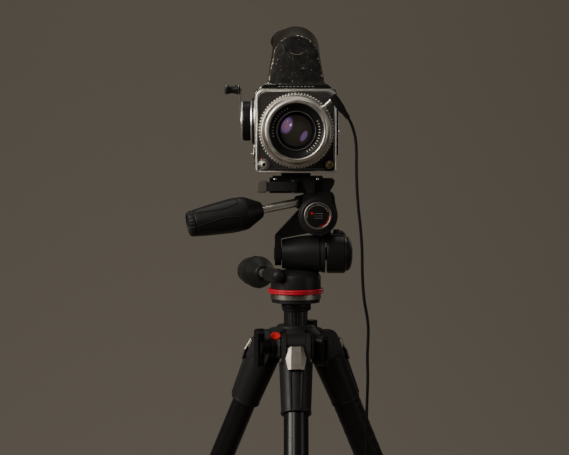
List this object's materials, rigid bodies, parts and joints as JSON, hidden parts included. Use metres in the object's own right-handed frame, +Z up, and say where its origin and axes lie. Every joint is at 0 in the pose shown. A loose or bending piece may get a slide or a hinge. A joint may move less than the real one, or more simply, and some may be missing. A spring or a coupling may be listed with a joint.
{
  "type": "film camera on tripod",
  "caption": "Medium-format film camera with prism finder and flash cord, on a three-way head and a three-section tripod with folding legs.",
  "frame": {"origin": "floor level, centre of the stand's footprint box (without the cord)", "axes": "+Z up, the lens points along -Y, +X to the right of a viewer facing the lens"},
  "size_m": [0.7316, 0.6374, 1.1532],
  "materials": {
    "body_chrome": "satin",
    "black_leather": "fine grain",
    "black_enamel": "worn semi-gloss",
    "lens_metal": "satin",
    "coated_glass": "polished",
    "mirror_glass": "polished",
    "black_rubber": "matte",
    "black_plastic": "satin",
    "black_casting": "powder coated",
    "black_tube": "anodised",
    "bright_steel": "polished",
    "selector_metal": "satin",
    "red_enamel": "satin",
    "cord_jacket": "matte"
  },
  "bodies": {
    "root": {"spider": "black_casting", "hinge_pins": "bright_steel", "sync_cord": "cord_jacket", "sync_coil": "cord_jacket", "cord_end_plug": "black_plastic"},
    "column": {"centre_column": "black_tube", "column_plate": "black_casting", "head_base": "selector_metal"},
    "pan": {"red_ring": "red_enamel", "pan_body": "black_casting"},
    "pan_handle": {"pan_lever": "bright_steel", "pan_grip": "black_rubber"},
    "tilt": {"tilt_yoke": "black_casting"},
    "tilt_knob": {"tilt_knob": "black_plastic"},
    "roll_wheel": {"roll_wheel": "black_plastic"},
    "roll": {"plate_receiver": "black_casting", "roll_cap": "black_plastic", "quick_plate": "black_casting", "body_shell": "body_chrome", "front_plate": "body_chrome", "prism_housing": "black_enamel", "eyecup": "black_rubber", "lens_barrel": "lens_metal", "front_glass": "coated_glass", "film_magazine": "black_leather", "strap_lugs": "body_chrome", "sync_plug": "black_plastic"},
    "roll_handle": {"roll_lever": "bright_steel", "roll_grip": "black_rubber"},
    "receiver_lever": {"receiver_lever": "black_plastic"},
    "crank": {"winding_crank": "black_enamel"},
    "crank_handle": {"crank_handle": "black_plastic"},
    "release": {"release_button": "lens_metal"},
    "lens_release": {"lens_release": "lens_metal"},
    "focus": {"focus_ring": "lens_metal"},
    "shutter_ring": {"shutter_ring": "lens_metal"},
    "magazine_key": {"magazine_key": "body_chrome"},
    "mirror": {"reflex_mirror": "mirror_glass"},
    "column_lock": {"column_lock_knob": "black_plastic"},
    "front_upper_leg": {"front_leg_casting": "black_casting", "front_upper_tube": "black_tube"},
    "front_upper_clamp": {"front_upper_lever": "black_plastic"},
    "front_middle_leg": {"front_middle_tube": "black_tube"},
    "front_lower_clamp": {"front_lower_lever": "black_plastic"},
    "front_lower_leg": {"front_lower_tube": "black_tube"},
    "front_selector": {"front_angle_selector": "selector_metal"},
    "right_upper_leg": {"right_leg_casting": "black_casting", "right_upper_tube": "black_tube"},
    "right_upper_clamp": {"right_upper_lever": "black_plastic"},
    "right_middle_leg": {"right_middle_tube": "black_tube"},
    "right_lower_clamp": {"right_lower_lever": "black_plastic"},
    "right_lower_leg": {"right_lower_tube": "black_tube"},
    "right_selector": {"right_angle_selector": "selector_metal"},
    "left_upper_leg": {"left_leg_casting": "black_casting", "left_upper_tube": "black_tube"},
    "left_upper_clamp": {"left_upper_lever": "black_plastic"},
    "left_middle_leg": {"left_middle_tube": "black_tube"},
    "left_lower_clamp": {"left_lower_lever": "black_plastic"},
    "left_lower_leg": {"left_lower_tube": "black_tube"},
    "left_selector": {"left_angle_selector": "selector_metal"}
  },
  "joints": [
    {"name": "pan", "type": "hinge", "parent": "column", "child": "pan", "pos_m": [0, 0.10157, 0.87], "axis": [0, 0, 1], "continuous": true, "deforming": ["sync_cord"]},
    {"name": "tilt", "type": "hinge", "parent": "pan", "child": "tilt", "pos_m": [0, 0.10157, 0.911], "axis": [1, 0, 0], "range_deg": [-30, 80]},
    {"name": "roll", "type": "hinge", "parent": "tilt", "child": "roll", "pos_m": [0.0233, 0.10157, 0.953], "axis": [0, 1, 0], "range_deg": [-30, 90]},
    {"name": "column_lift", "type": "slide", "parent": "root", "child": "column", "axis": [0, 0, 1], "range_m": [-0.017, 0.24]},
    {"name": "front_leg_fold", "type": "hinge", "parent": "root", "child": "front_upper_leg", "pos_m": [0, 0.06957, 0.816], "axis": [-1, 0, 0], "range_deg": [-25, 63]},
    {"name": "right_leg_fold", "type": "hinge", "parent": "root", "child": "right_upper_leg", "pos_m": [0.02771, 0.11757, 0.816], "axis": [0.5, -0.866, 0], "range_deg": [-25, 63]},
    {"name": "left_leg_fold", "type": "hinge", "parent": "root", "child": "left_upper_leg", "pos_m": [-0.02771, 0.11757, 0.816], "axis": [0.5, 0.866, 0], "range_deg": [-25, 63]},
    {"name": "front_middle_slide", "type": "slide", "parent": "front_upper_leg", "child": "front_middle_leg", "axis": [0, -0.4226, -0.9063], "range_m": [-0.172, 0.168]},
    {"name": "right_middle_slide", "type": "slide", "parent": "right_upper_leg", "child": "right_middle_leg", "axis": [0.366, 0.2113, -0.9063], "range_m": [-0.172, 0.168]},
    {"name": "left_middle_slide", "type": "slide", "parent": "left_upper_leg", "child": "left_middle_leg", "axis": [-0.366, 0.2113, -0.9063], "range_m": [-0.172, 0.168]},
    {"name": "front_lower_slide", "type": "slide", "parent": "front_middle_leg", "child": "front_lower_leg", "axis": [0, -0.4226, -0.9063], "range_m": [-0.172, 0.168]},
    {"name": "right_lower_slide", "type": "slide", "parent": "right_middle_leg", "child": "right_lower_leg", "axis": [0.366, 0.2113, -0.9063], "range_m": [-0.172, 0.168]},
    {"name": "left_lower_slide", "type": "slide", "parent": "left_middle_leg", "child": "left_lower_leg", "axis": [-0.366, 0.2113, -0.9063], "range_m": [-0.172, 0.168]},
    {"name": "crank_turn", "type": "hinge", "parent": "roll", "child": "crank", "pos_m": [0, 0.10557, 1.0535], "axis": [1, 0, 0], "continuous": true},
    {"name": "focus", "type": "hinge", "parent": "roll", "child": "focus", "pos_m": [0, 0.10157, 1.043], "axis": [0, 1, 0], "range_deg": [-30, 240]},
    {"name": "mirror_flip", "type": "hinge", "parent": "roll", "child": "mirror", "pos_m": [0, 0.12957, 1.071], "axis": [-1, 0, 0], "range_deg": [0, 45]},
    {"name": "release_press", "type": "slide", "parent": "roll", "child": "release", "axis": [0, 1, 0], "range_m": [0, 0.003], "stiffness_N_per_m": 300},
    {"name": "lens_release_press", "type": "slide", "parent": "roll", "child": "lens_release", "axis": [0, 1, 0], "range_m": [0, 0.0025], "stiffness_N_per_m": 300},
    {"name": "roll_handle_twist", "type": "hinge", "parent": "roll", "child": "roll_handle", "pos_m": [0.0065, 0.08857, 0.9677], "axis": [-0.9611, -0.2043, -0.1857], "range_deg": [-40, 40]},
    {"name": "pan_handle_twist", "type": "hinge", "parent": "pan", "child": "pan_handle", "pos_m": [-0.0185, 0.07756, 0.8891], "axis": [-0.2196, 0.9746, -0.0436], "range_deg": [-40, 40]},
    {"name": "receiver_lever_swing", "type": "hinge", "parent": "roll", "child": "receiver_lever", "pos_m": [-0.001, 0.07507, 0.984], "axis": [0, 0, 1], "range_deg": [0, 75]},
    {"name": "tilt_knob_turn", "type": "hinge", "parent": "tilt", "child": "tilt_knob", "pos_m": [0.04, 0.10157, 0.911], "axis": [1, 0, 0], "range_deg": [-120, 120]},
    {"name": "column_lock_turn", "type": "hinge", "parent": "root", "child": "column_lock", "pos_m": [-0.03464, 0.08156, 0.812], "axis": [-0.866, -0.5, 0], "range_deg": [-90, 90]},
    {"name": "front_upper_lever_swing", "type": "hinge", "parent": "front_upper_leg", "child": "front_upper_clamp", "pos_m": [0, -0.13421, 0.43105], "axis": [1, 0, 0], "range_deg": [0, 110]},
    {"name": "right_upper_lever_swing", "type": "hinge", "parent": "right_upper_leg", "child": "right_upper_clamp", "pos_m": [0.20419, 0.21945, 0.43105], "axis": [-0.5, 0.866, 0], "range_deg": [0, 110]},
    {"name": "left_upper_lever_swing", "type": "hinge", "parent": "left_upper_leg", "child": "left_upper_clamp", "pos_m": [-0.20419, 0.21945, 0.43105], "axis": [-0.5, -0.866, 0], "range_deg": [0, 110]},
    {"name": "front_lower_lever_swing", "type": "hinge", "parent": "front_middle_leg", "child": "front_lower_clamp", "pos_m": [0, -0.22379, 0.23339], "axis": [1, 0, 0], "range_deg": [0, 110]},
    {"name": "right_lower_lever_swing", "type": "hinge", "parent": "right_middle_leg", "child": "right_lower_clamp", "pos_m": [0.28177, 0.26424, 0.23339], "axis": [-0.5, 0.866, 0], "range_deg": [0, 110]},
    {"name": "left_lower_lever_swing", "type": "hinge", "parent": "left_middle_leg", "child": "left_lower_clamp", "pos_m": [-0.28177, 0.26424, 0.23339], "axis": [-0.5, -0.866, 0], "range_deg": [0, 110]},
    {"name": "front_selector_pull", "type": "slide", "parent": "front_upper_leg", "child": "front_selector", "axis": [0, -0.9063, 0.4226], "range_m": [0, 0.004], "stiffness_N_per_m": 250},
    {"name": "right_selector_pull", "type": "slide", "parent": "right_upper_leg", "child": "right_selector", "axis": [0.7849, 0.4532, 0.4226], "range_m": [0, 0.004], "stiffness_N_per_m": 250},
    {"name": "left_selector_pull", "type": "slide", "parent": "left_upper_leg", "child": "left_selector", "axis": [-0.7849, 0.4532, 0.4226], "range_m": [0, 0.004], "stiffness_N_per_m": 250},
    {"name": "shutter_ring_turn", "type": "hinge", "parent": "roll", "child": "shutter_ring", "pos_m": [0, 0.10157, 1.043], "axis": [0, 1, 0], "range_deg": [-60, 60]},
    {"name": "roll_wheel_turn", "type": "hinge", "parent": "tilt", "child": "roll_wheel", "pos_m": [0.048, 0.13156, 0.926], "axis": [1, 0, 0], "range_deg": [-90, 90]},
    {"name": "magazine_key_turn", "type": "hinge", "parent": "roll", "child": "magazine_key", "pos_m": [-0.044, 0.15957, 1.017], "axis": [1, 0, 0], "continuous": true},
    {"name": "crank_handle_spin", "type": "hinge", "parent": "crank", "child": "crank_handle", "pos_m": [-0.068, 0.10557, 1.0869], "axis": [1, 0, 0], "continuous": true}
  ]
}
